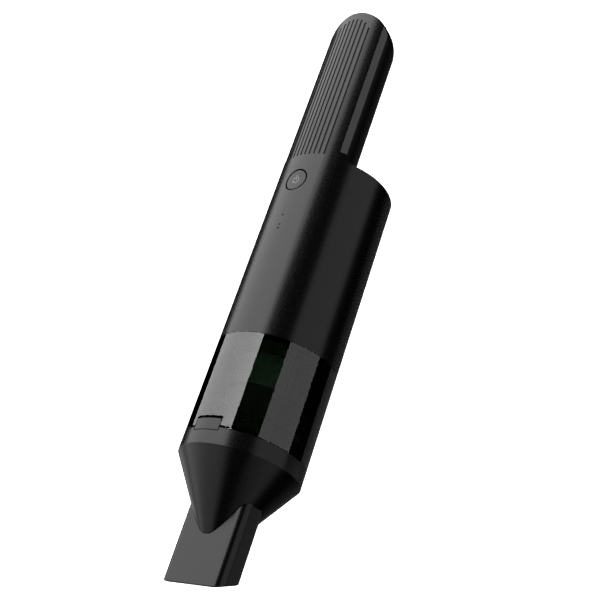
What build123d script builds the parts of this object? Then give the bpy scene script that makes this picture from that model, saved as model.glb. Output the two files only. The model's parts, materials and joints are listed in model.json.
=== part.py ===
from build123d import *
from math import asin, cos, degrees, radians, sin, sqrt
import os

# A slim handheld vacuum lying on its back: +Y runs from the nozzle to the end of the
# handle, +Z is the side with the power button, and Y = 0 is the middle of the grip.
# The long axis of the round body is the Y axis. All sizes are in millimetres.

# Overall sizes
body_radius = 33.0
nose_ring_length = 9.0
bin_length = 54.4
body_length = 111.7
handle_length = 106.6
cone_length = 50.8          # nose cone from the shoulder to its virtual tip
cone_cut = 37.4             # where the real cone stops, on its way to that tip
nozzle_reach = 63.6         # nozzle past the shoulder, on the button side
nozzle_slant = 7.2          # how much shorter the nozzle is on the other side

# Walls and clearances
shell_wall = 2.2
bin_wall = 2.2
seam = 0.2                  # gap left at every parting line
fit_gap = 0.3               # gap round each piece that slides or swings
part_gap = 0.1              # gap between pieces screwed or pressed together

# Stations along the axis
step_y = -handle_length / 2
handle_end_y = handle_length / 2
body_front_y = step_y - body_length
bin_front_y = body_front_y - bin_length
shoulder_y = bin_front_y - nose_ring_length

# Handle
grip_radius = 21.8          # rounded rear of the grip
grip_depth = 33.7           # front to rear
end_round = 18.5            # corners of the grip's end, in plan
dome_centre_drop = 4.6      # middle of the end dome below the front of the grip
dome_margin = 1.8           # end dome wider than it must be to meet the grip smoothly
dome_slack = 0.1            # keeps the end dome just clear of the faces it runs along
trim_start_angle = 36.0     # top edge of the trim strip, degrees from the front of the body
trim_drop = 1.6             # bottom edge of the strip below the grip's sharp corner
cover_inset = 0.25
shoulder_blend = 5.4        # round where the body's end meets the handle
rib_count = 9
rib_pitch = 3.0
rib_radius = 0.6
rib_start_y = step_y + 2.4
rib_end_margin = 5.0

# Power button and status lights
button_from_step = 14.9
button_radius = 6.9
button_travel = 0.7
button_flange = 8.4
button_flange_depth = 4.0
status_dot_y = step_y - 38.5
status_dot_radius = 0.6
status_mark_ys = (step_y - 44.6, step_y - 47.0)
status_mark_width = 1.6
status_mark_height = 0.8

# Control board
board_width = 18.0
board_length = 34.0
board_thickness = 1.6
board_depth = 10.9          # top of the board below the front of the shell
switch_side = 6.0
switch_height = 2.4
plunger_radius = 1.6
plunger_height = 0.8

# Battery
cell_radius = 9.15
cell_length = min(65.0, handle_length - 41.0)     # shorter cells in a shorter handle
cell_pitch = 18.8
cell_clearance = 0.15       # between the cells and the wall of the grip
battery_setback = 4.0       # middle of the cells behind the middle of the grip
cradle_plate = 2.0

# Screws
screw_radius = 1.2
screw_head_radius = 2.6
screw_head_height = 1.8
screw_sink = 2.2            # place of the head's underside above the grip's lowest line
end_screw_rise = 3.5        # how far the grip's end lifts the second screw
boss_radius = 3.4
handle_screw_ys = (step_y + 8.0, handle_end_y - 14.0)
motor_screw_circle = 9.0

# Joints at the two ends of the dust bin
lip_length = 5.0
lip_wall = 1.9
lip_shoulder = 2.0          # inside ring that carries each lip

# Latch tab
latch_width = 16.3
latch_rise = 4.7            # tab above the nose ring
latch_root = 1.6            # tab below the top of the nose ring
latch_thickness = 1.7
latch_slot = 1.3            # open slot above the tab
latch_swing = 6.0           # degrees
latch_pad = 2.0
latch_relief = 5.2          # shallow notch in the bin's edge on each side of the tab
latch_relief_height = 1.1

# Intake plate and filter
intake_plate_start = 7.0
intake_plate_thickness = 2.5
spigot_radius = 14.0
spigot_wall = 2.0
spigot_reach = 5.0
filter_radius = 19.5
filter_top_gap = 1.6
filter_cap = 2.3
filter_collar = 3.6
filter_rib_count = 6
filter_rib_width = 2.0
pleat_count = 28
pleat_depth = 4.0
mesh_wall = 0.5

# Inlet duct and flap
duct_radius = 11.6
duct_wall = 1.6
duct_mouth = 14.0           # mouth of the duct, past the shoulder
flange_start = 0.5
flange_thickness = 2.5
seal_thickness = 0.8
flap_radius = 11.2
flap_thickness = 1.2
flap_swing = 60.0           # degrees
flap_clearance = 1.8        # between the open flap and the filter
pin_radius = 0.8
pin_fit = 0.05
knuckle_radius = 1.7
knuckle_length = 8.0
ear_width = 1.8

# Nozzle
nozzle_width = 40.0
nozzle_thickness = 16.2
nozzle_corner = 5.0
nozzle_wall = 1.8
nozzle_root = 12.0          # inner end of the nozzle, ahead of the shoulder
socket_wall = 1.8
socket_end = 8.0            # inner end of the socket, ahead of the shoulder

# Motor and fan
shroud_start = 10.0
shroud_length = 16.0
shroud_gap = 4.3            # round the shroud, inside the body
shroud_wall = 1.5
eye_radius = 9.0
impeller_gap = 3.0
impeller_disc = 1.5
blade_count = 9
blade_height = 7.5
blade_thickness = 1.0
hub_radius = 4.5
shaft_radius = 1.6
shaft_fit = 0.06
diffuser_thickness = 2.5
diffuser_window_count = 8
diffuser_window_radius = 3.6
motor_radius = 14.5
motor_length = 35.0
motor_boss_radius = 5.0
mount_ring_length = 3.0
mount_ring_wall = 1.9
cradle_from_motor_end = 9.0
cradle_length = 4.0
spoke_count = 3
spoke_width = 5.0

# Exhaust
cap_thickness = 2.5
cap_rim_length = 7.0
cap_rim_wall = 1.5
cap_horn_drop = 4.8         # top of the end cap's horns below the grip's corner
vent_rows = 4
vent_pitch = 4.6
vent_height = 1.8
vent_first_z = -5.5
foam_thickness = 4.0
port_width = 8.94
port_height = 3.26
port_wall = 0.3
port_depth = 7.0
port_rise = 5.5             # socket above the bottom of the end cap

# Places that follow from the sizes above
tube_inner = body_radius - shell_wall
grip_centre_z = body_radius - grip_depth + grip_radius
corner_z = (body_radius**2 - grip_radius**2 + grip_centre_z**2) / (2 * grip_centre_z)
trim_low_z = corner_z - trim_drop
trim_high_z = body_radius * cos(radians(trim_start_angle))
trim_top = Vector(body_radius * sin(radians(trim_start_angle)), trim_high_z)
trim_bottom = Vector(sqrt(grip_radius**2 - (trim_low_z - grip_centre_z) ** 2), trim_low_z)
trim_run = (trim_bottom - trim_top).normalized()
trim_outward = Vector(-trim_run.Y, trim_run.X)
button_y = step_y - button_from_step
board_top_z = body_radius - board_depth
cell_reach = grip_radius - cover_inset - shell_wall - cell_clearance - cell_radius
cell_centre_z = grip_centre_z - sqrt(cell_reach**2 - (cell_pitch / 2) ** 2)
battery_low_y = -battery_setback - cell_length / 2
battery_high_y = battery_low_y + cell_length
shroud_radius = tube_inner - shroud_gap
impeller_radius = shroud_radius - shroud_wall - impeller_gap
cap_radius = tube_inner - part_gap
port_z = port_rise - cap_radius


def across(y):
    # Plane square to the long axis, seen from the nozzle: X to the right, Z up.
    return Plane.XZ.offset(-y)


def round_run(y_start, y_end, outer, inner=0.0, mode=Mode.ADD, x=0.0, z=0.0):
    # Disc or tube parallel to the long axis.
    with BuildSketch(across(y_start)) as profile:
        with Locations((x, z)):
            Circle(outer)
            if inner > 0:
                Circle(inner, mode=Mode.SUBTRACT)
    extrude(profile.sketch, amount=y_start - y_end, mode=mode)


def slab(x_span, y_span, z_span, mode=Mode.ADD):
    # Box between two values on each axis.
    middle = [sum(span) / 2 for span in (x_span, y_span, z_span)]
    size = [abs(span[1] - span[0]) for span in (x_span, y_span, z_span)]
    with Locations(tuple(middle)):
        Box(*size, mode=mode)


def upright(x, y, z_start, z_end, radius, mode=Mode.ADD):
    # Round post or hole parallel to Z.
    with BuildSketch(Plane.XY.offset(z_start)) as profile:
        with Locations((x, y)):
            Circle(radius)
    extrude(profile.sketch, amount=z_end - z_start, mode=mode)


def bar_run(y_start, y_end, width, thickness, corner, mode=Mode.ADD):
    # Rounded bar along the long axis, wide across X.
    with BuildSketch(across(y_start)) as profile:
        RectangleRounded(width, thickness, corner)
    extrude(profile.sketch, amount=y_start - y_end, mode=mode)


def handle_blank(inset, y_start):
    # Outside of the handle drawn in by inset: the body's own curve in front, a rounder
    # rear, a flat along each side for the trim strip, a rounded end in plan and a flattened
    # dome behind the end, wide enough to run into the grip's round rear without a step.
    end_y = handle_end_y - inset
    length = end_y - y_start
    dome_depth = grip_depth - dome_centre_drop + dome_slack
    dome_reach = sqrt(dome_depth * grip_radius) + dome_margin
    dome_centre_y = handle_end_y - dome_reach + dome_slack
    dome_centre_z = body_radius - dome_centre_drop
    with BuildPart() as dome:
        with BuildSketch(Plane.YZ) as half:
            with Locations((dome_centre_y, dome_centre_z)):
                Ellipse(dome_reach - inset, dome_depth - inset)
                Rectangle(
                    2 * (dome_reach - inset), grip_depth, align=(Align.CENTER, Align.MIN)
                )
                Rectangle(
                    2 * dome_reach, 4 * grip_depth, align=(Align.MAX, Align.CENTER), mode=Mode.SUBTRACT
                )
        revolve(half.sketch, axis=Axis((0, dome_centre_y, 0), (0, 0, 1)))
    with BuildPart() as behind_dome:
        slab(
            (-body_radius, body_radius),
            (dome_centre_y - 1, handle_end_y + 1),
            (body_radius - 2 * grip_depth, body_radius + 1),
        )
        add(dome.part, mode=Mode.SUBTRACT)
    with BuildPart() as blank:
        with BuildSketch(across(y_start)) as section:
            Circle(body_radius - inset)
            with Locations((0, grip_centre_z)):
                Circle(grip_radius - inset, mode=Mode.INTERSECT)
            for side in (-1, 1):
                corners = [
                    trim_top - trim_run - trim_outward * inset,
                    trim_bottom + trim_run - trim_outward * inset,
                    trim_top + trim_outward * body_radius / 4,
                ]
                with BuildLine():
                    Polyline([(side * p.X, p.Y) for p in corners], close=True)
                make_face(mode=Mode.SUBTRACT)
        extrude(section.sketch, amount=-length)
        with BuildSketch(Plane.XY.offset(-body_radius)) as plan:
            with Locations((0, end_y - length)):
                RectangleRounded(2 * (grip_radius - inset), 2 * length, end_round - inset)
        extrude(plan.sketch, amount=2 * body_radius, mode=Mode.INTERSECT)
        add(behind_dome.part, mode=Mode.SUBTRACT)
    return blank.part


def shoulder_web():
    # Body wall carried past the step in two hollow rounds beside the handle.
    half = grip_radius + shoulder_blend
    with BuildPart() as web:
        round_run(step_y - 1, step_y + shoulder_blend, body_radius, tube_inner)
        with BuildSketch(Plane.XY) as plan:
            with Locations((0, step_y - 1 + (shoulder_blend + 1) / 2)):
                Rectangle(2 * half, shoulder_blend + 1)
            with Locations((half, step_y + shoulder_blend), (-half, step_y + shoulder_blend)):
                Circle(shoulder_blend, mode=Mode.SUBTRACT)
        extrude(plan.sketch, amount=body_radius, mode=Mode.INTERSECT)
    return web.part


def nose_space():
    # Hollow of the nose behind its wall, less the socket that holds the nozzle.
    slope = body_radius / cone_length
    shift = shell_wall * sqrt(1 + slope**2) / slope
    inner_tip_y = shoulder_y - cone_length + shift
    with BuildPart() as space:
        with BuildSketch(Plane.YZ) as half:
            with BuildLine():
                Polyline(
                    (inner_tip_y, 0),
                    (inner_tip_y + tube_inner / slope, tube_inner),
                    (bin_front_y + 1, tube_inner),
                    (bin_front_y + 1, 0),
                    close=True,
                )
            make_face()
        revolve(half.sketch, axis=Axis.Y)
        bar_run(
            shoulder_y - cone_length,
            shoulder_y - socket_end,
            nozzle_width + 2 * (fit_gap + socket_wall),
            nozzle_thickness + 2 * (fit_gap + socket_wall),
            nozzle_corner + fit_gap + socket_wall,
            mode=Mode.SUBTRACT,
        )
    return space.part


outer_blank = handle_blank(0, step_y - 2)
inner_blank = handle_blank(shell_wall, step_y - 2)
cover_outer = handle_blank(cover_inset, step_y + seam)
cover_inner = handle_blank(cover_inset + shell_wall, step_y - 2)
web_blank = shoulder_web()
nose_hollow = nose_space()
handle_front_low_z = trim_high_z + seam / 2
cover_top_z = trim_low_z - seam / 2
screw_seat_z = screw_sink + screw_head_height
handle_screw_seats = (screw_seat_z, screw_seat_z + end_screw_rise)


def rib_angle(index):
    return degrees(asin((index - (rib_count - 1) / 2) * rib_pitch / body_radius))


# Body tube and the front of the handle, moulded as one shell
with BuildPart() as main_shell:
    add(outer_blank)
    split(bisect_by=Plane.XY.offset(handle_front_low_z), keep=Keep.TOP)
    round_run(body_front_y + seam / 2, step_y, body_radius, tube_inner)
    add(web_blank)
    add(inner_blank, mode=Mode.SUBTRACT)
    for y in handle_screw_ys:
        upright(0, y, cover_top_z + seam, body_radius - shell_wall / 2, boss_radius)
        upright(0, y, cover_top_z, body_radius - shell_wall, screw_radius + 0.05, Mode.SUBTRACT)
    for side in (-1, 1):
        post_y = button_y - board_length / 2 + 2
        upright(side * 6, post_y, board_top_z + part_gap, body_radius - shell_wall, 1.8)
    upright(0, button_y, board_top_z + 4, body_radius + 1, button_radius + fit_gap, Mode.SUBTRACT)
    upright(0, status_dot_y, grip_centre_z, body_radius + 1, status_dot_radius, Mode.SUBTRACT)
    for y in status_mark_ys:
        slab(
            (-status_mark_width / 2, status_mark_width / 2),
            (y - status_mark_height / 2, y + status_mark_height / 2),
            (grip_centre_z, body_radius + 1),
            mode=Mode.SUBTRACT,
        )
    for index in range(rib_count):
        angle = radians(rib_angle(index))
        rib_x = body_radius * sin(angle)
        dome_y = handle_end_y - end_round + sqrt((end_round - rib_end_margin) ** 2 - rib_x**2)
        round_run(
            rib_start_y, dome_y, rib_radius, mode=Mode.SUBTRACT, x=rib_x, z=body_radius * cos(angle)
        )
main_shell.part.label = "main_shell"

# Trim strip that runs up one side of the grip, round its end and down the other
with BuildPart() as handle_trim:
    add(outer_blank)
    add(inner_blank, mode=Mode.SUBTRACT)
    slab(
        (-body_radius, body_radius),
        (step_y + shoulder_blend + seam, handle_end_y + 1),
        (trim_low_z, trim_high_z),
        mode=Mode.INTERSECT,
    )
handle_trim.part.label = "handle_trim"

# Bosses for the two screws, cut off where the grip's end rises
with BuildPart() as cover_bosses:
    for y in handle_screw_ys:
        upright(0, y, grip_centre_z - grip_radius + 2, cover_top_z, boss_radius)
    add(cover_outer, mode=Mode.INTERSECT)

# Rear half of the grip
with BuildPart() as handle_cover:
    add(cover_outer)
    split(bisect_by=Plane.XY.offset(cover_top_z), keep=Keep.BOTTOM)
    add(cover_inner, mode=Mode.SUBTRACT)
    add(web_blank, mode=Mode.SUBTRACT)
    add(cover_bosses.part)
    for y, seat_z in zip(handle_screw_ys, handle_screw_seats):
        upright(0, y, -5, seat_z, screw_head_radius + 0.2, Mode.SUBTRACT)
        upright(0, y, -1, cover_top_z, screw_radius + 0.1, Mode.SUBTRACT)
handle_cover.part.label = "handle_cover"

# Two screws that close the handle
with BuildPart() as handle_screws:
    for y, seat_z in zip(handle_screw_ys, handle_screw_seats):
        upright(0, y, seat_z - screw_head_height, seat_z, screw_head_radius)
        upright(0, y, seat_z, body_radius - shell_wall - 1.5, screw_radius)
        upright(0, y, seat_z - screw_head_height, seat_z - 0.8, 1.0, Mode.SUBTRACT)
handle_screws.part.label = "handle_screws"

# Power button: a disc that follows the shell's curve, on a flange and a stem
flange_top_z = body_radius - button_flange_depth
stem_end_z = board_top_z + switch_height + plunger_height + button_travel + part_gap
icon_ring = 1.9
icon_line = 0.45
icon_floor_z = body_radius - 0.6
with BuildPart() as icon_blank:
    with BuildSketch(Plane.XY.offset(icon_floor_z)) as icon:
        with Locations((0, button_y)):
            Circle(icon_ring)
            Circle(icon_ring - icon_line, mode=Mode.SUBTRACT)
        with Locations((0, button_y + icon_ring)):
            Rectangle(3.4 * icon_line, 2 * icon_ring, mode=Mode.SUBTRACT)
        with Locations((0, button_y + 0.65 * icon_ring)):
            Rectangle(icon_line, 1.2 * icon_ring)
    extrude(icon.sketch, amount=2)
    round_run(button_y - 10, button_y + 10, body_radius, mode=Mode.INTERSECT)
with BuildPart() as power_button:
    upright(0, button_y, flange_top_z - 1, body_radius + 1, button_radius)
    round_run(button_y - 10, button_y + 10, body_radius, mode=Mode.INTERSECT)
    upright(0, button_y, flange_top_z - 1.6, flange_top_z, button_flange)
    upright(0, button_y, stem_end_z, flange_top_z, 2.0)
    add(icon_blank.part, mode=Mode.SUBTRACT)
power_button.part.label = "power_button"

# Power symbol let into the button
with BuildPart() as button_icon:
    add(icon_blank.part)
button_icon.part.label = "button_icon"

# One round and two square status lights, flush with the shell
with BuildPart() as status_lights:
    low_z = tube_inner - 0.6
    upright(0, status_dot_y, low_z, body_radius + 1, status_dot_radius)
    for y in status_mark_ys:
        slab(
            (-status_mark_width / 2, status_mark_width / 2),
            (y - status_mark_height / 2, y + status_mark_height / 2),
            (low_z, body_radius + 1),
        )
    round_run(button_y - body_length, button_y, body_radius, mode=Mode.INTERSECT)
status_lights.part.label = "status_lights"

# Control board with the switch under the button
board_y = (button_y - board_length / 2 - 5, button_y + board_length / 2 - 5)
with BuildPart() as control_board:
    slab(
        (-board_width / 2, board_width / 2), board_y, (board_top_z - board_thickness, board_top_z)
    )
    slab((-5, 5), (board_y[0] + 6, board_y[0] + 13), (board_top_z - 3.6, board_top_z - 1.6))
    slab((-8, -4), (board_y[1] - 6, board_y[1] - 2), (board_top_z, board_top_z + 3))
control_board.part.label = "control_board"

with BuildPart() as tact_switch:
    slab(
        (-switch_side / 2, switch_side / 2),
        (button_y - switch_side / 2, button_y + switch_side / 2),
        (board_top_z, board_top_z + switch_height),
    )
    plunger_top_z = board_top_z + switch_height + plunger_height
    upright(0, button_y, board_top_z + switch_height, plunger_top_z, plunger_radius)
tact_switch.part.label = "tact_switch"


# Two battery cells side by side in the grip
def battery_cell(side, name):
    with BuildPart() as cell:
        x = side * cell_pitch / 2
        round_run(battery_low_y, battery_high_y, cell_radius, x=x, z=cell_centre_z)
        fillet(cell.edges().filter_by(GeomType.CIRCLE), 0.8)
        round_run(battery_high_y, battery_high_y + 0.6, 3.0, x=x, z=cell_centre_z)
    cell.part.label = name
    return cell


battery_cell_left = battery_cell(-1, "battery_cell_left")
battery_cell_right = battery_cell(1, "battery_cell_right")

# Cradle with a plate at each end of the cells and a rail between them
cradle_low_y, cradle_high_y = battery_low_y - 1, battery_high_y + 1
cradle_blank = handle_blank(cover_inset + shell_wall + fit_gap, step_y)
with BuildPart() as battery_cradle:
    for y in (cradle_low_y - cradle_plate, cradle_high_y):
        round_run(y, y + cradle_plate, body_radius)
    add(cradle_blank, mode=Mode.INTERSECT)
    split(bisect_by=Plane.XY.offset(cover_top_z - part_gap), keep=Keep.BOTTOM)
    rail_low_z = grip_centre_z - grip_radius + cover_inset + shell_wall + 1
    rail_high_z = cell_centre_z - cell_radius + 1.5
    slab((-2.0, 2.0), (cradle_low_y, cradle_high_y), (rail_low_z, rail_high_z))
battery_cradle.part.label = "battery_cradle"

# Nickel link that joins the two cells
with BuildPart() as battery_link:
    slab(
        (-cell_pitch / 2 - 3, cell_pitch / 2 + 3),
        (battery_low_y - 0.3, battery_low_y),
        (cell_centre_z - 3, cell_centre_z + 3),
    )
battery_link.part.label = "battery_link"

# End cap that closes the body behind the handle, with rows of exhaust slots
with BuildPart() as exhaust_cap:
    round_run(step_y - cap_thickness, step_y, cap_radius)
    round_run(
        step_y - cap_thickness - cap_rim_length,
        step_y - cap_thickness,
        cap_radius,
        cap_radius - cap_rim_wall,
    )
    round_run(
        step_y - cap_thickness - cap_rim_length,
        step_y,
        grip_radius - 2 * shell_wall,
        mode=Mode.SUBTRACT,
        z=grip_centre_z,
    )
    split(bisect_by=Plane.XY.offset(corner_z - cap_horn_drop), keep=Keep.BOTTOM)
    for row in range(vent_rows):
        z = vent_first_z - row * vent_pitch
        reach = sqrt((cap_radius - 4) ** 2 - z**2)
        for side in (-1, 1):
            slab(
                (side * 1.5, side * reach),
                (step_y - cap_thickness, step_y),
                (z - vent_height / 2, z + vent_height / 2),
                mode=Mode.SUBTRACT,
            )
    with BuildSketch(across(step_y - cap_thickness - cap_rim_length)) as port_hole:
        with Locations((0, port_z)):
            SlotOverall(port_width + 2 * part_gap, port_height + 2 * part_gap)
    extrude(port_hole.sketch, amount=-cap_thickness - cap_rim_length, mode=Mode.SUBTRACT)
exhaust_cap.part.label = "exhaust_cap"

# Foam pad behind the slots
with BuildPart() as exhaust_foam:
    foam_end_y = step_y - cap_thickness - part_gap
    foam_radius = cap_radius - cap_rim_wall - fit_gap
    round_run(foam_end_y - foam_thickness, foam_end_y, foam_radius)
    slab(
        (-body_radius, body_radius),
        (step_y - body_length, step_y),
        (port_z + port_height / 2 + part_gap, grip_centre_z - grip_radius - 1),
        mode=Mode.INTERSECT,
    )
exhaust_foam.part.label = "exhaust_foam"

# Charging socket in the end cap
with BuildPart() as charging_port:
    with BuildSketch(across(step_y - port_depth)) as port:
        with Locations((0, port_z)):
            SlotOverall(port_width, port_height)
    extrude(port.sketch, amount=-port_depth)
    with BuildSketch(across(step_y - port_depth + 1)) as port_inside:
        with Locations((0, port_z)):
            SlotOverall(port_width - 2 * port_wall, port_height - 2 * port_wall)
    extrude(port_inside.sketch, amount=1 - port_depth, mode=Mode.SUBTRACT)
    slab((-3.2, 3.2), (step_y - port_depth + 1, step_y - 1.5), (port_z - 0.35, port_z + 0.35))
charging_port.part.label = "charging_port"

# Plate that splits the motor from the dust bin, with the spigot the filter fits over
plate_y = body_front_y + intake_plate_start
with BuildPart() as intake_plate:
    round_run(plate_y, plate_y + intake_plate_thickness, tube_inner - part_gap)
    round_run(body_front_y - spigot_reach, plate_y, spigot_radius)
    round_run(
        body_front_y - spigot_reach,
        plate_y + intake_plate_thickness,
        spigot_radius - spigot_wall,
        mode=Mode.SUBTRACT,
    )
    for angle in (0, 60, 120):
        with Locations(Location((0, plate_y + intake_plate_thickness / 2, 0), (0, angle, 0))):
            Box(2 * spigot_radius - 1, intake_plate_thickness, 1.4)
intake_plate.part.label = "intake_plate"

# Seal ring the dust bin closes on
with BuildPart() as body_seal:
    round_run(
        body_front_y + lip_length + fit_gap,
        plate_y,
        tube_inner - fit_gap,
        tube_inner - fit_gap - 2.6,
    )
body_seal.part.label = "body_seal"

# Filter cage: a collar, an end cap and the bars between them
mouth_y = shoulder_y + duct_mouth
hinge_y = mouth_y + seam + flap_thickness / 2
hinge_z = duct_radius + knuckle_radius + 0.3
flap_reach = (hinge_z + flap_radius) * sin(radians(flap_swing))
filter_top_y = body_front_y - filter_top_gap
filter_end_y = hinge_y + flap_reach + flap_clearance
collar_y = filter_top_y - filter_collar
cap_top_y = filter_end_y + filter_cap
seal_y = filter_top_y - 1.2
with BuildPart() as filter_frame:
    round_run(collar_y, seal_y, filter_radius + mesh_wall + 0.4, spigot_radius + fit_gap)
    round_run(filter_end_y, cap_top_y, filter_radius + mesh_wall + 0.4)
    for index in range(filter_rib_count):
        angle = 360 / filter_rib_count * index
        place = Location((0, (collar_y + cap_top_y) / 2, 0), (0, angle, 0))
        with Locations(place * Location((filter_radius - 0.75, 0, 0))):
            Box(1.5, collar_y - cap_top_y, filter_rib_width)
filter_frame.part.label = "filter_frame"

# Pleated paper cylinder inside the cage
with BuildPart() as pleated_filter:
    outer = filter_radius - 1.9
    points = []
    for index in range(2 * pleat_count):
        radius = outer if index % 2 else outer - pleat_depth + 0.8
        angle = radians(180 / pleat_count * index)
        points.append((radius * cos(angle), radius * sin(angle)))
    with BuildSketch(across(cap_top_y)) as star:
        with BuildLine():
            Polyline(*points, close=True)
        make_face()
        Circle(outer - pleat_depth, mode=Mode.SUBTRACT)
    extrude(star.sketch, amount=cap_top_y - collar_y)
pleated_filter.part.label = "pleated_filter"

# Fine metal screen round the cage
with BuildPart() as prefilter_mesh:
    round_run(cap_top_y, collar_y, filter_radius + mesh_wall, filter_radius + 0.05)
prefilter_mesh.part.label = "prefilter_mesh"

with BuildPart() as filter_seal:
    round_run(seal_y, filter_top_y, filter_radius - 1, spigot_radius + fit_gap)
filter_seal.part.label = "filter_seal"

# Clear dust bin: a straight cup with a stepped lip at each end and a notch for the latch
lip_outer = tube_inner - fit_gap
lip_inner = lip_outer - lip_wall
bin_inner = body_radius - bin_wall
notch_half = latch_width / 2 + fit_gap
notch_top_y = bin_front_y + latch_rise + latch_slot
latch_low_z = sqrt((body_radius - latch_thickness) ** 2 - (latch_width / 2) ** 2)
latch_drop = (latch_rise + latch_root) * sin(radians(latch_swing))
notch_floor_z = latch_low_z - latch_drop - fit_gap
with BuildPart() as tab_relief:
    relief_half = notch_half + latch_relief
    relief_end_y = bin_front_y + latch_relief_height
    round_run(bin_front_y, relief_end_y, body_radius + 1, lip_outer)
    slab(
        (-relief_half, relief_half),
        (bin_front_y, relief_end_y),
        (0, body_radius + 1),
        mode=Mode.INTERSECT,
    )
with BuildPart() as dust_bin:
    cup_start, cup_end = bin_front_y + seam / 2, body_front_y - seam / 2
    round_run(cup_start, cup_end, body_radius, bin_inner)
    round_run(cup_start, cup_start + lip_shoulder, body_radius - 1, lip_inner)
    round_run(cup_end - lip_shoulder, cup_end, body_radius - 1, lip_inner)
    round_run(bin_front_y - lip_length, cup_start + lip_shoulder, lip_outer, lip_inner)
    round_run(cup_end - lip_shoulder, body_front_y + lip_length, lip_outer, lip_inner)
    slab(
        (-notch_half - 2, notch_half + 2),
        (bin_front_y - lip_length, notch_top_y + 2),
        (notch_floor_z - latch_pad, lip_inner),
    )
    slab(
        (-notch_half - 2, notch_half + 2),
        (notch_top_y, notch_top_y + 2),
        (lip_inner - 0.5, bin_inner + 0.5),
    )
    slab(
        (-notch_half, notch_half),
        (bin_front_y - lip_length - 1, notch_top_y),
        (notch_floor_z, body_radius + 1),
        mode=Mode.SUBTRACT,
    )
    add(tab_relief.part, mode=Mode.SUBTRACT)
dust_bin.part.label = "dust_bin"

# Nose: a ring that takes the bin's lip and a plain cone with the nozzle's socket
tip_y = shoulder_y - cone_cut
tip_radius = body_radius * (1 - cone_cut / cone_length)
latch_root_y = bin_front_y - latch_root
with BuildPart() as nose_cone:
    with BuildSketch(Plane.YZ) as half:
        with BuildLine():
            Polyline(
                (tip_y, 0),
                (tip_y, tip_radius),
                (shoulder_y, body_radius),
                (bin_front_y - seam / 2, body_radius),
                (bin_front_y - seam / 2, 0),
                close=True,
            )
        make_face()
    revolve(half.sketch, axis=Axis.Y)
    add(nose_hollow, mode=Mode.SUBTRACT)
    bar_run(
        shoulder_y - cone_length,
        shoulder_y - socket_end + 1,
        nozzle_width + 2 * fit_gap,
        nozzle_thickness + 2 * fit_gap,
        nozzle_corner + fit_gap,
        mode=Mode.SUBTRACT,
    )
    slab(
        (-notch_half, notch_half),
        (latch_root_y - fit_gap, bin_front_y + 1),
        (notch_floor_z, body_radius + 1),
        mode=Mode.SUBTRACT,
    )
nose_cone.part.label = "nose_cone"

# Latch tab: a springy tongue in the front of the ring that stands up into the bin
with BuildPart() as latch_tab:
    round_run(
        latch_root_y, bin_front_y + latch_rise, body_radius, body_radius - latch_thickness
    )
    slab(
        (-latch_width / 2, latch_width / 2),
        (latch_root_y, bin_front_y + latch_rise),
        (latch_low_z - 1, body_radius + 1),
        mode=Mode.INTERSECT,
    )
latch_tab.part.label = "latch_tab"

# Plate across the nose with the round duct that carries dust into the bin
flange_y = shoulder_y + flange_start
flange_end_y = flange_y + flange_thickness
with BuildPart() as inlet_duct:
    round_run(flange_y, flange_end_y, tube_inner - part_gap)
    round_run(flange_end_y, mouth_y, duct_radius)
    for side in (-1, 1):
        near = side * (knuckle_length / 2 + fit_gap)
        across_x = (near, near + side * ear_width)
        slab(across_x, (mouth_y - 5, mouth_y), (duct_radius - 3, hinge_z + knuckle_radius))
        slab(
            across_x,
            (mouth_y, hinge_y + knuckle_radius),
            (flap_radius + fit_gap, hinge_z + knuckle_radius),
        )
    round_run(flange_y, mouth_y, duct_radius - duct_wall, mode=Mode.SUBTRACT)
    with BuildSketch(Plane.YZ.offset(-knuckle_length)) as pin_hole:
        with Locations((hinge_y, hinge_z)):
            Circle(pin_radius + 0.02)
    extrude(pin_hole.sketch, amount=2 * knuckle_length, mode=Mode.SUBTRACT)
inlet_duct.part.label = "inlet_duct"

with BuildPart() as flap_pin:
    pin_half = knuckle_length / 2 + fit_gap + ear_width
    with BuildSketch(Plane.YZ.offset(-pin_half)) as pin:
        with Locations((hinge_y, hinge_z)):
            Circle(pin_radius)
    extrude(pin.sketch, amount=2 * pin_half)
flap_pin.part.label = "flap_pin"

# Flap that hangs from the pin and closes the duct's mouth
with BuildPart() as inlet_flap:
    round_run(mouth_y + seam, mouth_y + seam + flap_thickness, flap_radius)
    slab(
        (-knuckle_length / 2, knuckle_length / 2),
        (mouth_y + seam, mouth_y + seam + flap_thickness),
        (flap_radius - 3, hinge_z),
    )
    with BuildSketch(Plane.YZ.offset(-knuckle_length / 2)) as knuckle:
        with Locations((hinge_y, hinge_z)):
            Circle(knuckle_radius)
    extrude(knuckle.sketch, amount=knuckle_length)
    with BuildSketch(Plane.YZ.offset(-knuckle_length)) as knuckle_hole:
        with Locations((hinge_y, hinge_z)):
            Circle(pin_radius + pin_fit)
    extrude(knuckle_hole.sketch, amount=2 * knuckle_length, mode=Mode.SUBTRACT)
inlet_flap.part.label = "inlet_flap"

# Seal ring between the nose plate and the bin's lip
with BuildPart() as nose_seal:
    round_run(
        flange_end_y,
        flange_end_y + seal_thickness,
        tube_inner - fit_gap,
        lip_inner - 0.5,
    )
    slab(
        (-notch_half, notch_half),
        (flange_y, bin_front_y),
        (notch_floor_z - 0.2, body_radius),
        mode=Mode.SUBTRACT,
    )
nose_seal.part.label = "nose_seal"

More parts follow.
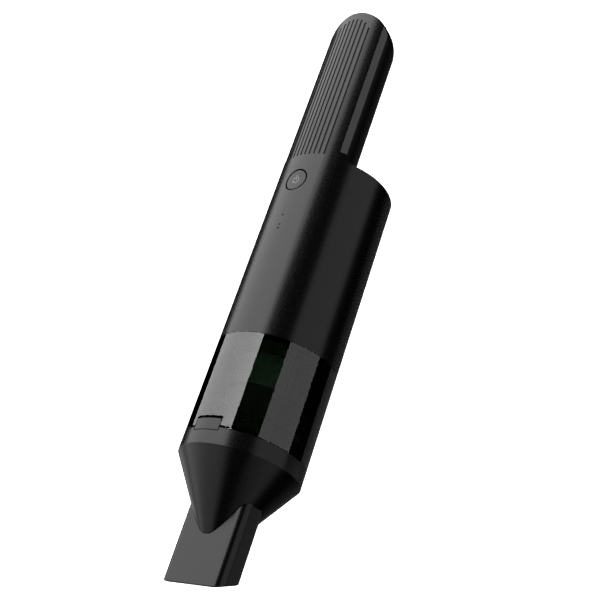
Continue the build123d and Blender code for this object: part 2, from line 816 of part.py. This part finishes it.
# Crevice nozzle: a hollow rounded bar cut off on a slant
with BuildPart() as crevice_nozzle:
    far_y = shoulder_y - nozzle_reach
    bar_run(far_y, shoulder_y - nozzle_root, nozzle_width, nozzle_thickness, nozzle_corner)
    bar_run(
        far_y,
        shoulder_y - nozzle_root,
        nozzle_width - 2 * nozzle_wall,
        nozzle_thickness - 2 * nozzle_wall,
        nozzle_corner - nozzle_wall,
        mode=Mode.SUBTRACT,
    )
    half_thick = nozzle_thickness / 2
    with BuildSketch(Plane.YZ.offset(-nozzle_width)) as slant:
        with BuildLine():
            Polyline(
                (far_y, half_thick),
                (far_y + nozzle_slant, -half_thick),
                (far_y + nozzle_slant, -half_thick - 1),
                (far_y - 1, -half_thick - 1),
                (far_y - 1, half_thick),
                close=True,
            )
        make_face()
    extrude(slant.sketch, amount=2 * nozzle_width, mode=Mode.SUBTRACT)
crevice_nozzle.part.label = "crevice_nozzle"

# Fan shroud over the impeller
shroud_y = body_front_y + shroud_start
shroud_end_y = shroud_y + shroud_length
with BuildPart() as fan_shroud:
    round_run(shroud_y, shroud_end_y, shroud_radius)
    round_run(
        shroud_y + shroud_wall, shroud_end_y, shroud_radius - shroud_wall, mode=Mode.SUBTRACT
    )
    round_run(shroud_y, shroud_end_y, eye_radius, mode=Mode.SUBTRACT)
fan_shroud.part.label = "fan_shroud"

# Impeller: a back disc, a hub and swept blades
disc_y = shroud_end_y - 4.5
with BuildPart() as impeller:
    round_run(disc_y, disc_y + impeller_disc, impeller_radius)
    round_run(disc_y - blade_height, disc_y + impeller_disc + 1, hub_radius)
    with BuildSketch(across(disc_y - blade_height)) as blades:
        for index in range(blade_count):
            with Locations(Location((0, 0), 360 / blade_count * index)):
                with Locations(Location((impeller_radius * 0.58, -2.6), -18)):
                    Rectangle(impeller_radius * 0.72, blade_thickness)
        Circle(impeller_radius - 0.2, mode=Mode.INTERSECT)
        Circle(hub_radius - 1, mode=Mode.SUBTRACT)
    extrude(blades.sketch, amount=-blade_height)
    round_run(
        disc_y - blade_height, disc_y + impeller_disc + 1, shaft_radius + 0.01, mode=Mode.SUBTRACT
    )
impeller.part.label = "impeller"

# Diffuser plate that carries the motor
diffuser_y = shroud_end_y + part_gap
diffuser_end_y = diffuser_y + diffuser_thickness
with BuildPart() as diffuser_plate:
    round_run(
        diffuser_y, diffuser_end_y, tube_inner - part_gap, motor_boss_radius + fit_gap
    )
    with BuildSketch(across(diffuser_y)) as windows:
        with PolarLocations(tube_inner - 2 - diffuser_window_radius, diffuser_window_count):
            Circle(diffuser_window_radius)
        with PolarLocations(motor_screw_circle, 3):
            Circle(screw_radius + 0.1)
    extrude(windows.sketch, amount=-diffuser_thickness, mode=Mode.SUBTRACT)
diffuser_plate.part.label = "diffuser_plate"

# Motor can with its front boss
motor_y = diffuser_end_y + mount_ring_length
motor_end_y = motor_y + motor_length
with BuildPart() as motor_can:
    round_run(motor_y, motor_end_y, motor_radius)
    fillet(motor_can.edges().filter_by(GeomType.CIRCLE), 1.2)
    round_run(motor_y - mount_ring_length - 1, motor_y, motor_boss_radius)
    round_run(motor_end_y, motor_end_y + 2.5, 4.0)
    round_run(
        motor_y - 6, motor_end_y + 4, shaft_radius + shaft_fit, mode=Mode.SUBTRACT
    )
    with BuildSketch(across(motor_y)) as screw_holes:
        with PolarLocations(motor_screw_circle, 3):
            Circle(screw_radius)
    extrude(screw_holes.sketch, amount=-5, mode=Mode.SUBTRACT)
motor_can.part.label = "motor_can"

with BuildPart() as motor_shaft:
    round_run(disc_y - blade_height, motor_end_y + 4, shaft_radius)
motor_shaft.part.label = "motor_shaft"

# Three screws through the diffuser plate into the motor
with BuildPart() as motor_screws:
    with BuildSketch(across(diffuser_y)) as shanks:
        with PolarLocations(motor_screw_circle, 3):
            Circle(screw_radius)
    extrude(shanks.sketch, amount=-diffuser_thickness - mount_ring_length - 4)
    with BuildSketch(across(diffuser_y - 1.4)) as heads:
        with PolarLocations(motor_screw_circle, 3):
            Circle(screw_head_radius - 0.5)
    extrude(heads.sketch, amount=-1.4)
motor_screws.part.label = "motor_screws"

# Rubber rings that hold the motor off the housing at each end
with BuildPart() as motor_mount_front:
    round_run(
        diffuser_end_y, motor_y, motor_radius - 1.5, motor_screw_circle + screw_radius + 0.6
    )
motor_mount_front.part.label = "motor_mount_front"

cradle_y = motor_end_y - cradle_from_motor_end
mount_outer = motor_radius + mount_ring_wall
with BuildPart() as motor_mount_rear:
    round_run(cradle_y, cradle_y + cradle_length, mount_outer, motor_radius + 0.02)
motor_mount_rear.part.label = "motor_mount_rear"

with BuildPart() as motor_cradle:
    round_run(cradle_y, cradle_y + cradle_length, mount_outer + 1.6, mount_outer + 0.02)
    for index in range(spoke_count):
        angle = 360 / spoke_count * index + 90
        place = Location((0, cradle_y + cradle_length / 2, 0), (0, angle, 0))
        spoke_start = mount_outer + 1
        spoke_end = tube_inner - part_gap
        with Locations(place * Location(((spoke_start + spoke_end) / 2, 0, 0))):
            Box(spoke_end - spoke_start, cradle_length, spoke_width)
    round_run(cradle_y, cradle_y + cradle_length, tube_inner - part_gap, mode=Mode.INTERSECT)
motor_cradle.part.label = "motor_cradle"

pieces = [
    main_shell, handle_trim, handle_cover, handle_screws, power_button, button_icon,
    status_lights, control_board, tact_switch, battery_cell_left, battery_cell_right,
    battery_cradle, battery_link, exhaust_cap, exhaust_foam, charging_port, intake_plate,
    body_seal, filter_frame, pleated_filter, prefilter_mesh, filter_seal, dust_bin,
    nose_cone, latch_tab, inlet_duct, flap_pin, inlet_flap, nose_seal, crevice_nozzle,
    fan_shroud, impeller, diffuser_plate, motor_can, motor_shaft, motor_screws,
    motor_mount_front, motor_mount_rear, motor_cradle,
]
os.makedirs("parts", exist_ok=True)
for piece in pieces:
    export_step(piece.part, f"parts/{piece.part.label}.step")
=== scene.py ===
import json
import math

import bmesh
import bpy
from mathutils import Matrix, Vector


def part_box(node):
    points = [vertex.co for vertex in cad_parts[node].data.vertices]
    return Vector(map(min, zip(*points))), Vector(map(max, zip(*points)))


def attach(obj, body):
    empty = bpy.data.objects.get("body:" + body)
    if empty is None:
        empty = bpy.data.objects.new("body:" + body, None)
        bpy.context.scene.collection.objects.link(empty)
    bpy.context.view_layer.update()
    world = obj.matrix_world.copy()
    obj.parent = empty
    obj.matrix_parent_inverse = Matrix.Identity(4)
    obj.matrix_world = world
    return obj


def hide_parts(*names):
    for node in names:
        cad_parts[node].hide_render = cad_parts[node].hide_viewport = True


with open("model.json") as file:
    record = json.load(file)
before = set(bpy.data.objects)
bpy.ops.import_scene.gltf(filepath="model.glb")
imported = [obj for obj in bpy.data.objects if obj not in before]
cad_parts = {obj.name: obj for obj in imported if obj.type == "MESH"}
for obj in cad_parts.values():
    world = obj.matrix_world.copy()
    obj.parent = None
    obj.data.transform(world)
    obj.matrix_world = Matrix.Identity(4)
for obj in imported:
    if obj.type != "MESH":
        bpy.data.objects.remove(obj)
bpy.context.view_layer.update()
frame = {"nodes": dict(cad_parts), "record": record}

# A slim handheld vacuum lying on its back, nozzle towards -Y and power button up.
# The frame's nodes give every place; sizes below are in millimetres unless they say otherwise.

mm = 0.001

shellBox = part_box("main_shell")
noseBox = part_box("nose_cone")
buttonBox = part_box("power_button")
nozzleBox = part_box("crevice_nozzle")

bodyRadius = shellBox[1].x
binFrontY = noseBox[1].y
shoulderY = binFrontY - 8.9 * mm
buttonCentre = Vector((0, (buttonBox[0].y + buttonBox[1].y) / 2, 0))


# Materials

def addNode(tree, kind, **inputs):
    made = tree.nodes.new("ShaderNode" + kind)
    for socket, value in inputs.items():
        made.inputs[socket].default_value = value
    return made


def mottle(tree, coords, scale, detail=2.0, stretch=None):
    # Noise on object coordinates, drawn out along one axis where stretch is given.
    noise = addNode(tree, "TexNoise", Scale=scale, Detail=detail)
    if stretch:
        mapping = addNode(tree, "Mapping", Scale=stretch)
        tree.links.new(coords.outputs["Object"], mapping.inputs["Vector"])
        tree.links.new(mapping.outputs["Vector"], noise.inputs["Vector"])
    else:
        tree.links.new(coords.outputs["Object"], noise.inputs["Vector"])
    return noise.outputs["Fac"]


def remap(tree, value, low, high):
    spread = addNode(tree, "MapRange")
    spread.inputs["From Min"].default_value = 0.3
    spread.inputs["From Max"].default_value = 0.7
    spread.inputs["To Min"].default_value = low
    spread.inputs["To Max"].default_value = high
    tree.links.new(value, spread.inputs["Value"])
    return spread.outputs["Result"]


def tint(tree, value, dark, light):
    mix = tree.nodes.new("ShaderNodeMix")
    mix.data_type = "RGBA"
    mix.inputs["A"].default_value = (*dark, 1)
    mix.inputs["B"].default_value = (*light, 1)
    tree.links.new(value, mix.inputs["Factor"])
    return mix.outputs["Result"]


def relief(tree, height, depth, strength=0.6):
    bump = addNode(tree, "Bump", Strength=strength, Distance=depth)
    tree.links.new(height, bump.inputs["Height"])
    return bump


def startMaterial(name, **sockets):
    material = bpy.data.materials.new(name)
    material.use_nodes = True
    shader = material.node_tree.nodes["Principled BSDF"]
    for socket, value in sockets.items():
        shader.inputs[socket.replace("_", " ")].default_value = value
    return material, material.node_tree, shader


def mouldedPlastic(name, color, roughness, specular, grain=1500, depth=1e-6, spread=0.04, stretch=None):
    # Moulded plastic: slow change of tone, fine spark texture in relief and in gloss.
    material, tree, shader = startMaterial(name, Specular_IOR_Level=specular)
    coords = tree.nodes.new("ShaderNodeTexCoord")
    slow = mottle(tree, coords, 22, 3)
    fine = mottle(tree, coords, grain, 2, stretch)
    light = [c * 1.25 for c in color]
    dark = [c * 0.8 for c in color]
    tree.links.new(tint(tree, slow, dark, light), shader.inputs["Base Color"])
    tree.links.new(remap(tree, fine, roughness - spread, roughness + spread), shader.inputs["Roughness"])
    tree.links.new(relief(tree, fine, depth).outputs["Normal"], shader.inputs["Normal"])
    return material


def turnedMetal(name, color, roughness, stretch):
    # Metal with fine lines left by turning, drawing or brushing.
    material, tree, shader = startMaterial(name, Metallic=1.0)
    coords = tree.nodes.new("ShaderNodeTexCoord")
    lines = mottle(tree, coords, 900, 3, stretch)
    slow = mottle(tree, coords, 60, 2)
    tree.links.new(tint(tree, slow, [c * 0.85 for c in color], color), shader.inputs["Base Color"])
    tree.links.new(remap(tree, lines, roughness - 0.08, roughness + 0.1), shader.inputs["Roughness"])
    tree.links.new(relief(tree, lines, 3e-6).outputs["Normal"], shader.inputs["Normal"])
    return material


def cellular(name, color, cell, depth, roughness=0.95):
    # Open foam: pores in painted shade, darker in colour, and sunk in relief.
    material, tree, shader = startMaterial(name, Roughness=roughness)
    coords = tree.nodes.new("ShaderNodeTexCoord")
    pores = addNode(tree, "TexVoronoi", Scale=cell)
    tree.links.new(coords.outputs["Object"], pores.inputs["Vector"])
    # Painted shade: the pores are darkened as if shade filled them.
    dark = [c * 0.3 for c in color]
    tree.links.new(tint(tree, pores.outputs["Distance"], dark, color), shader.inputs["Base Color"])
    sunk = relief(tree, pores.outputs["Distance"], depth, 1)
    tree.links.new(sunk.outputs["Normal"], shader.inputs["Normal"])
    return material


def wovenWire(name, color, pitch):
    # Fine woven wire: rings round the axis crossed by lines along it, with painted shade in the gaps
    # between them.
    material, tree, shader = startMaterial(name, Metallic=0.9, Roughness=0.45)
    coords = tree.nodes.new("ShaderNodeTexCoord")
    weave = None
    for direction in ("Y", "X"):
        wave = addNode(tree, "TexWave", Scale=1 / pitch / 6.28)
        wave.bands_direction = direction
        tree.links.new(coords.outputs["Object"], wave.inputs["Vector"])
        if weave is None:
            weave = wave.outputs["Fac"]
        else:
            joined = tree.nodes.new("ShaderNodeMath")
            joined.operation = "MAXIMUM"
            tree.links.new(weave, joined.inputs[0])
            tree.links.new(wave.outputs["Fac"], joined.inputs[1])
            weave = joined.outputs["Value"]
    # Painted shade: the gaps between the wires are darker in colour, and also sunk in relief.
    tree.links.new(tint(tree, weave, [c * 0.6 for c in color], color), shader.inputs["Base Color"])
    tree.links.new(relief(tree, weave, 8e-5, 1).outputs["Normal"], shader.inputs["Normal"])
    return material


def smokedGlass(name, color, density, roughness):
    # Clear smoked plastic, darker the more of it light passes, with the faint waves of a moulding.
    material, tree, shader = startMaterial(
        name, Base_Color=(0.98, 0.98, 0.98, 1), Transmission_Weight=1.0, IOR=1.56, Roughness=roughness
    )
    smoke = addNode(tree, "VolumeAbsorption", Color=(*color, 1), Density=density)
    tree.links.new(smoke.outputs["Volume"], tree.nodes["Material Output"].inputs["Volume"])
    coords = tree.nodes.new("ShaderNodeTexCoord")
    flow = mottle(tree, coords, 35, 1)
    tree.links.new(relief(tree, flow, 1e-6, 0.1).outputs["Normal"], shader.inputs["Normal"])
    return material


looks = {
    "shell_black": mouldedPlastic("BodyBlack", (0.0012, 0.0012, 0.0012), 0.25, 0.27),
    "cover_black": mouldedPlastic("CoverBlack", (0.0014, 0.0014, 0.0014), 0.33, 0.22, 1100, 2e-6),
    "trim_black": mouldedPlastic("TrimBlack", (0.0020, 0.0020, 0.0021), 0.20, 0.62, 1500, 5e-7, 0.03),
    "nose_black": mouldedPlastic("NoseBlack", (0.0012, 0.0012, 0.0012), 0.26, 0.25),
    "button_black": mouldedPlastic("ButtonBlack", (0.0012, 0.0012, 0.0012), 0.22, 0.27),
    "icon_grey": mouldedPlastic("IconGrey", (0.15, 0.15, 0.155), 0.5, 0.3, 2200, 5e-7),
    "light_pipe": mouldedPlastic("LightPipe", (0.0010, 0.0010, 0.0011), 0.5, 0.04, 1800, 5e-7, 0.02),
    "inner_black": mouldedPlastic("InnerBlack", (0.012, 0.012, 0.012), 0.42, 0.4),
    "inner_grey": mouldedPlastic("InnerGrey", (0.05, 0.05, 0.052), 0.45, 0.4),
    "seal_rubber": mouldedPlastic("SealRubber", (0.012, 0.012, 0.012), 0.62, 0.35, 900, 6e-6, 0.1),
    "flap_green": mouldedPlastic("FlapGreen", (0.10, 0.55, 0.16), 0.5, 0.4, 900, 5e-6, 0.1),
    "board_green": mouldedPlastic("BoardGreen", (0.01, 0.11, 0.035), 0.3, 0.5, 700, 8e-6, 0.08),
    "switch_black": mouldedPlastic("SwitchBlack", (0.02, 0.02, 0.02), 0.4, 0.5),
    "cell_wrap": mouldedPlastic("CellWrap", (0.03, 0.13, 0.33), 0.28, 0.5, 500, 6e-6, 0.05, (1, 0.1, 1)),
    "filter_paper": mouldedPlastic(
        "FilterPaper", (0.62, 0.60, 0.54), 0.9, 0.2, 800, 3e-5, 0.05, (1, 0.25, 1)
    ),
    "foam_black": cellular("FoamBlack", (0.03, 0.03, 0.032), 900, 3e-4),
    "mesh_steel": wovenWire("MeshSteel", (0.34, 0.36, 0.34), 0.5 * mm),
    "steel": turnedMetal("Steel", (0.60, 0.60, 0.62), 0.28, (1, 0.04, 1)),
    "screw_steel": turnedMetal("ScrewSteel", (0.48, 0.48, 0.50), 0.22, (1, 1, 0.1)),
    "nickel": turnedMetal("Nickel", (0.66, 0.64, 0.60), 0.3, (0.1, 1, 1)),
    "clear_smoke": smokedGlass("ClearSmoke", (0.04, 0.155, 0.04), 1300, 0.015),
}

slotOf = {part["node"]: part["material_slot"] for part in frame["record"]["subparts"]}
for node, made in frame["nodes"].items():
    made.data.materials.clear()
    made.data.materials.append(looks[slotOf[node]])
print("materials:", len(looks), "on", len(frame["nodes"]), "frame nodes")


# Mesh helpers

def settle(bm, name, body, slotName, replaced=(), sharpAngle=38, weighted=True):
    # Turns a finished bmesh into a piece that rides on its body.
    mesh = bpy.data.meshes.new(name)
    bm.to_mesh(mesh)
    bm.free()
    mesh.materials.append(looks[slotName])
    mesh.shade_smooth()
    mesh.set_sharp_from_angle(angle=math.radians(sharpAngle))
    piece = bpy.data.objects.new(name, mesh)
    bpy.context.scene.collection.objects.link(piece)
    if weighted:
        normals = piece.modifiers.new("flatNormals", "WEIGHTED_NORMAL")
        normals.keep_sharp = True
    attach(piece, body)
    if replaced:
        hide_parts(*replaced)
    return piece


def sharpEdges(bm, least):
    return [e for e in bm.edges if len(e.link_faces) == 2 and e.calc_face_angle(0) > math.radians(least)]


def roundEdges(bm, edges, width, segments=2):
    bmesh.ops.bevel(
        bm, geom=edges, offset=width, segments=segments, profile=0.5,
        affect="EDGES", clamp_overlap=True, material=-1,
    )


def softened(node, name, body, width, least=35, segments=2, crease=38):
    # A copy of a frame node with its doubles merged and its sharp edges rounded.
    bm = bmesh.new()
    bm.from_mesh(frame["nodes"][node].data)
    bmesh.ops.remove_doubles(bm, verts=bm.verts, dist=3e-6)
    bmesh.ops.dissolve_limit(bm, angle_limit=math.radians(0.6), verts=bm.verts, edges=bm.edges)
    roundEdges(bm, sharpEdges(bm, least), width * mm, segments)
    bmesh.ops.triangulate(bm, faces=[f for f in bm.faces if len(f.verts) > 4])
    return settle(bm, name, body, slotOf[node], (node,), crease)


def trueRound(piece, radii):
    # Gives a drawn tube the normals of the true one, so that long reflections run straight.
    mesh = piece.data
    normals = [corner.vector.copy() for corner in mesh.corner_normals]
    for loop in mesh.loops:
        spot = mesh.vertices[loop.vertex_index].co
        outward = Vector((spot.x, 0, spot.z))
        onWall = any(abs(outward.length - r) < 0.03 * mm for r in radii)
        facing = normals[loop.index].dot(outward.normalized())
        if onWall and abs(facing) > 0.97:
            normals[loop.index] = outward.normalized() * math.copysign(1, facing)
    piece.modifiers.clear()
    mesh.normals_split_custom_set(normals)


def turned(bm, profile, centre, steps=96, axis=(0, 0, 1), outward=(1, 0, 0), angle=360):
    # Profile points are (distance from the axis, place along it); the chain is spun about the axis.
    axisDir, outDir = Vector(axis), Vector(outward)
    chain = [bm.verts.new(centre + outDir * r * mm + axisDir * h * mm) for r, h in profile]
    edges = [bm.edges.new(pair) for pair in zip(chain, chain[1:])]
    bmesh.ops.spin(
        bm, geom=chain + edges, cent=centre, axis=axis, dvec=(0, 0, 0),
        angle=math.radians(angle), steps=steps, use_merge=(angle == 360), use_duplicate=False,
    )
    bmesh.ops.remove_doubles(bm, verts=bm.verts, dist=1e-6)
    bmesh.ops.recalc_face_normals(bm, faces=bm.faces)


def wrapOnBody(bm, radius):
    # Lets a piece drawn flat on the top of the body follow its round.
    for v in bm.verts:
        v.co.z -= radius - math.sqrt(radius * radius - v.co.x * v.co.x)


# Housing: shell, trim strip, rear cover, end cap

housingEdges = {"shell": 0.3, "trim": 0.2, "cover": 0.3, "cap": 0.25, "port": 0.12}

softened("main_shell", "bodyTube", "housing", housingEdges["shell"])
softened("handle_trim", "handleTrim", "housing", housingEdges["trim"])
softened("handle_cover", "handleCover", "housing", housingEdges["cover"])
softened("exhaust_cap", "exhaustCap", "housing", housingEdges["cap"])
softened("charging_port", "chargingPort", "housing", housingEdges["port"])
print("housing pieces made")


# Power button with its symbol, and the status lights

button = {
    "radius": 6.65, "sunk": 0.15, "dish": 0.12, "skirt": 3.8,
    "symbolRing": 2.2, "symbolLine": 0.5, "symbolGap": 34,    # the gap is half its angle in degrees
    "lightEdge": 0.12,
}


def makeButton():
    bm = bmesh.new()
    top, r, dish = -button["sunk"], button["radius"], button["dish"]
    profile = [
        (0, top - dish), (1.5, top - dish), (3, top - dish * 0.8), (4.5, top - dish * 0.35),
        (5.6, top), (6.1, top), (r - 0.35, top - 0.06), (r - 0.14, top - 0.25), (r, top - 0.7),
        (r, -button["skirt"]), (8.3, -button["skirt"]), (8.3, -button["skirt"] - 1.4),
        (2.2, -button["skirt"] - 1.4), (2.2, -6.6), (0, -6.6),
    ]
    turned(bm, profile, buttonCentre + Vector((0, 0, bodyRadius)))
    wrapOnBody(bm, bodyRadius)
    return settle(bm, "powerButton", "button", "button_black", ("power_button",))


def makeSymbol():
    # Open ring with a bar through its gap.
    bm = bmesh.new()
    top = -button["sunk"] - button["dish"]
    r, line = button["symbolRing"], button["symbolLine"]
    sunk, proud = top - 0.1, top + 0.03
    profile = [(r, sunk), (r, proud), (r - line, proud), (r - line, sunk), (r, sunk)]
    gap = button["symbolGap"]
    centre = buttonCentre + Vector((0, 0, bodyRadius))
    startAngle = math.radians(90 + gap)
    outward = (math.cos(startAngle), math.sin(startAngle), 0)
    turned(bm, profile, centre, 40, (0, 0, 1), outward, 360 - 2 * gap)
    bmesh.ops.holes_fill(bm, edges=[e for e in bm.edges if len(e.link_faces) == 1])
    bar = bmesh.ops.create_cube(bm, size=1)["verts"]
    place = Matrix.Translation(centre + Vector((0, 0.72 * r * mm, (top - 0.035) * mm)))
    size = Matrix.Diagonal((line * mm, 1.3 * r * mm, (proud - sunk) * mm, 1))
    bmesh.ops.transform(bm, matrix=place @ size, verts=bar)
    bmesh.ops.recalc_face_normals(bm, faces=bm.faces)
    wrapOnBody(bm, bodyRadius)
    return settle(bm, "powerSymbol", "button", "icon_grey", ("button_icon",))


makeButton()
makeSymbol()
softened("status_lights", "statusLights", "housing", button["lightEdge"])
print("button and lights made")


# Dust bin, nose, latch and nozzle

frontFacts = {"binEdge": 0.2, "binWall": 2.2, "noseEdge": 0.3, "latchEdge": 0.25}

binInnerRadius = bodyRadius - frontFacts["binWall"] * mm
clearBin = softened("dust_bin", "dustBin", "bin", frontFacts["binEdge"])
trueRound(clearBin, (bodyRadius, binInnerRadius))
softened("nose_cone", "noseCone", "nose", frontFacts["noseEdge"], least=20, crease=19)
softened("latch_tab", "latchTab", "latch", frontFacts["latchEdge"])

boss = {"radius": 11.6, "bead": 0.45, "fromRing": 2.6, "buried": 0.1}


def makeBoss():
    # Bead moulded round the latch on the inside of the bin's wall.
    bm = bmesh.new()
    r, bead, sides = boss["radius"], boss["bead"], 8
    profile = []
    for index in range(sides + 1):
        turn = 2 * math.pi * index / sides
        profile.append((r + bead * math.cos(turn), bead * math.sin(turn)))
    centre = Vector((0, binFrontY + boss["fromRing"] * mm, binInnerRadius - boss["buried"] * mm))
    turned(bm, profile, centre, 48, (0, 0, 1), (1, 0, 0), 180)
    bmesh.ops.holes_fill(bm, edges=[e for e in bm.edges if len(e.link_faces) == 1])
    wrapOnBody(bm, binInnerRadius)
    return settle(bm, "latchBoss", "bin", "inner_grey")


makeBoss()

nozzle = {"corner": 5.2, "flat": 0.5, "wall": 1.8, "slant": 7.2, "rim": 0.5}


def makeNozzle():
    bm = bmesh.new()
    low, high = nozzleBox
    bmesh.ops.create_grid(bm, x_segments=1, y_segments=1, size=0.5)
    turn = Matrix.Rotation(math.radians(90), 4, "X")
    size = Matrix.Diagonal((high.x - low.x, 1, high.z - low.z, 1))
    bmesh.ops.transform(bm, matrix=Matrix.Translation((0, high.y, 0)) @ size @ turn, verts=bm.verts)
    bmesh.ops.bevel(
        bm, geom=bm.verts[:], offset=nozzle["corner"] * mm, segments=12, profile=nozzle["flat"],
        affect="VERTICES", material=-1,
    )
    bmesh.ops.delete(bm, geom=bm.faces[:], context="FACES_ONLY")
    bmesh.ops.delete(bm, geom=[v for v in bm.verts if not v.link_edges], context="VERTS")
    ring = bmesh.ops.extrude_edge_only(bm, edges=bm.edges[:])["geom"]
    moved = [g for g in ring if isinstance(g, bmesh.types.BMVert)]
    bmesh.ops.translate(bm, vec=(0, low.y - high.y - 0.01, 0), verts=moved)
    normal = Vector((0, high.z - low.z, nozzle["slant"] * mm))
    bmesh.ops.bisect_plane(
        bm, geom=bm.verts[:] + bm.edges[:] + bm.faces[:], plane_co=(0, low.y, high.z),
        plane_no=normal, clear_inner=True,
    )
    bmesh.ops.recalc_face_normals(bm, faces=bm.faces)
    bmesh.ops.solidify(bm, geom=bm.faces[:], thickness=nozzle["wall"] * mm)
    bmesh.ops.recalc_face_normals(bm, faces=bm.faces)
    roundEdges(bm, sharpEdges(bm, 40), nozzle["rim"] * mm, 3)
    return settle(bm, "creviceNozzle", "nozzle", "nose_black", ("crevice_nozzle",))


makeNozzle()
print("bin, nose, latch and nozzle made")


# Studio: white floor, long curved softboxes, white surround

studio = {
    "floorDrop": 0.32, "floorSize": 8.0,     # metres
    "floorGlow": 0.8,
    "boxRadius": 1.3,                        # metres from the body's axis
    # Angles run from +X over the top to -X, with the power at the first and the last of them.
    # The light fades along Y between the two places in fade, down to the share in faded.
    "mainBox": {
        "angles": (84, 175), "y": (-1.7, 1.7), "power": (5.5, 1.9), "fade": (-0.3, -1.1), "faded": 0.25,
    },
    "backBox": {
        "angles": (180, 245), "y": (-1.7, -0.1), "power": (0.6, 0.9), "fade": (-0.3, -1.1), "faded": 1,
    },
    "sideBox": {
        "angles": (-31, 34), "y": (-1.6, 1.7), "power": (0.9, 1.05), "fade": (-0.9, -1.0), "faded": 0.8,
    },
    "lowBox": {
        "angles": (-78, -38), "y": (-0.2, 0.2), "power": (0.45, 0.45), "fade": (-0.3, -1.1), "faded": 1,
    },
    "rimBox": {
        "angles": (-115, -70), "y": (-1.6, 1.7), "power": (0.05, 0.05), "fade": (-0.3, -1.1), "faded": 1,
    },
    # Reaches only what lies behind the smoked plastic, so that it shows through it.
    "binBox": {
        "angles": (15, 165), "y": (-1.3, 1.3), "power": (6, 6), "fade": (-0.3, -1.1), "faded": 1,
    },
    "surround": 0.0015,
}


def emitter(name):
    # Cloth of a softbox; the "lit" attribute holds its power point by point.
    material, tree, shader = startMaterial(name)
    shader.inputs["Base Color"].default_value = (0, 0, 0, 1)
    shader.inputs["Emission Color"].default_value = (1, 1, 1, 1)
    level = tree.nodes.new("ShaderNodeAttribute")
    level.attribute_name = "lit"
    tree.links.new(level.outputs["Fac"], shader.inputs["Emission Strength"])
    return material


def makeSoftbox(name, facts):
    # Part of a cylinder about the body's axis, seen by reflections but not by the camera.
    start, end = [math.radians(a) for a in facts["angles"]]
    radius = studio["boxRadius"]
    bm = bmesh.new()
    x, z = radius * math.cos(start), radius * math.sin(start)
    ends = [bm.verts.new((x, y, z)) for y in facts["y"]]
    edge = bm.edges.new(ends)
    bmesh.ops.spin(
        bm, geom=ends + [edge], cent=(0, 0, 0), axis=(0, -1, 0), dvec=(0, 0, 0),
        angle=end - start, steps=24, use_merge=False, use_duplicate=False,
    )
    bmesh.ops.subdivide_edges(bm, edges=[e for e in bm.edges if e.calc_length() > 0.4], cuts=15)
    mesh = bpy.data.meshes.new(name)
    bm.to_mesh(mesh)
    bm.free()
    lit = mesh.attributes.new("lit", "FLOAT", "POINT")
    first, last = facts["power"]
    fadeStart, fadeEnd = facts["fade"]
    middle = (start + end) / 2
    for v in mesh.vertices:
        fromMiddle = (math.atan2(v.co.z, v.co.x) - middle + math.pi) % (2 * math.pi) - math.pi
        across = fromMiddle / (end - start) + 0.5
        fade = min(1, max(0, (fadeStart - v.co.y) / (fadeStart - fadeEnd)))
        lit.data[v.index].value = (first + (last - first) * across) * (1 - fade * (1 - facts["faded"]))
    mesh.materials.append(emitter(name))
    box = bpy.data.objects.new(name, mesh)
    bpy.context.scene.collection.objects.link(box)
    box.visible_camera = False
    box.visible_shadow = False
    return box


def makeFloor():
    bm = bmesh.new()
    bmesh.ops.create_grid(bm, x_segments=2, y_segments=2, size=studio["floorSize"] / 2)
    bmesh.ops.translate(bm, vec=(0, 0, -studio["floorDrop"]), verts=bm.verts)
    mesh = bpy.data.meshes.new("floor")
    bm.to_mesh(mesh)
    bm.free()
    material, tree, shader = startMaterial("FloorWhite", Roughness=0.9)
    coords = tree.nodes.new("ShaderNodeTexCoord")
    tone = tint(tree, mottle(tree, coords, 3, 2), (0.88, 0.88, 0.88), (0.92, 0.92, 0.92))
    tree.links.new(tone, shader.inputs["Base Color"])
    shader.inputs["Emission Color"].default_value = (1, 1, 1, 1)
    shader.inputs["Emission Strength"].default_value = studio["floorGlow"]
    mesh.materials.append(material)
    floor = bpy.data.objects.new("floor", mesh)
    bpy.context.scene.collection.objects.link(floor)
    floor.visible_glossy = False
    floor.visible_diffuse = False
    floor.visible_transmission = False


def makeSurround():
    # White to the camera, nearly dark to the object.
    world = bpy.data.worlds.new("surround")
    bpy.context.scene.world = world
    world.use_nodes = True
    tree = world.node_tree
    background = tree.nodes["Background"]
    rays = tree.nodes.new("ShaderNodeLightPath")
    background.inputs["Color"].default_value = (1, 1, 1, 1)
    level = tree.nodes.new("ShaderNodeMapRange")
    level.inputs["To Min"].default_value = studio["surround"]
    level.inputs["To Max"].default_value = 1.0
    tree.links.new(rays.outputs["Is Camera Ray"], level.inputs["Value"])
    tree.links.new(level.outputs["Result"], background.inputs["Strength"])


for place in ("main", "back", "side", "low", "rim"):
    makeSoftbox(place + "Softbox", studio[place + "Box"])
binLight = makeSoftbox("binSoftbox", studio["binBox"])
binLight.visible_glossy = False
binLight.visible_diffuse = False
makeFloor()
makeSurround()
bpy.context.scene.view_settings.view_transform = "Standard"
print("studio made")


# Camera: looks down on the button side from the nozzle's right

cameraFacts = {
    "fromShoulder": (0.4260, -0.1907, 0.4362),  # metres from the middle of the nose's shoulder
    "right": (0.776, 0.294, -0.558), "up": (0.052, 0.852, 0.522), "lens": 74.26,
}


def makeCamera():
    data = bpy.data.cameras.new("camera")
    data.lens = cameraFacts["lens"]
    data.sensor_width = 36
    data.clip_start = 0.01
    camera = bpy.data.objects.new("camera", data)
    bpy.context.scene.collection.objects.link(camera)
    right = Vector(cameraFacts["right"]).normalized()
    back = right.cross(Vector(cameraFacts["up"])).normalized()
    up = back.cross(right)
    place = Vector(cameraFacts["fromShoulder"]) + Vector((0, shoulderY, 0))
    camera.matrix_world = Matrix.Translation(place) @ Matrix((right, up, back)).transposed().to_4x4()
    bpy.context.scene.camera = camera


makeCamera()
print("camera set")
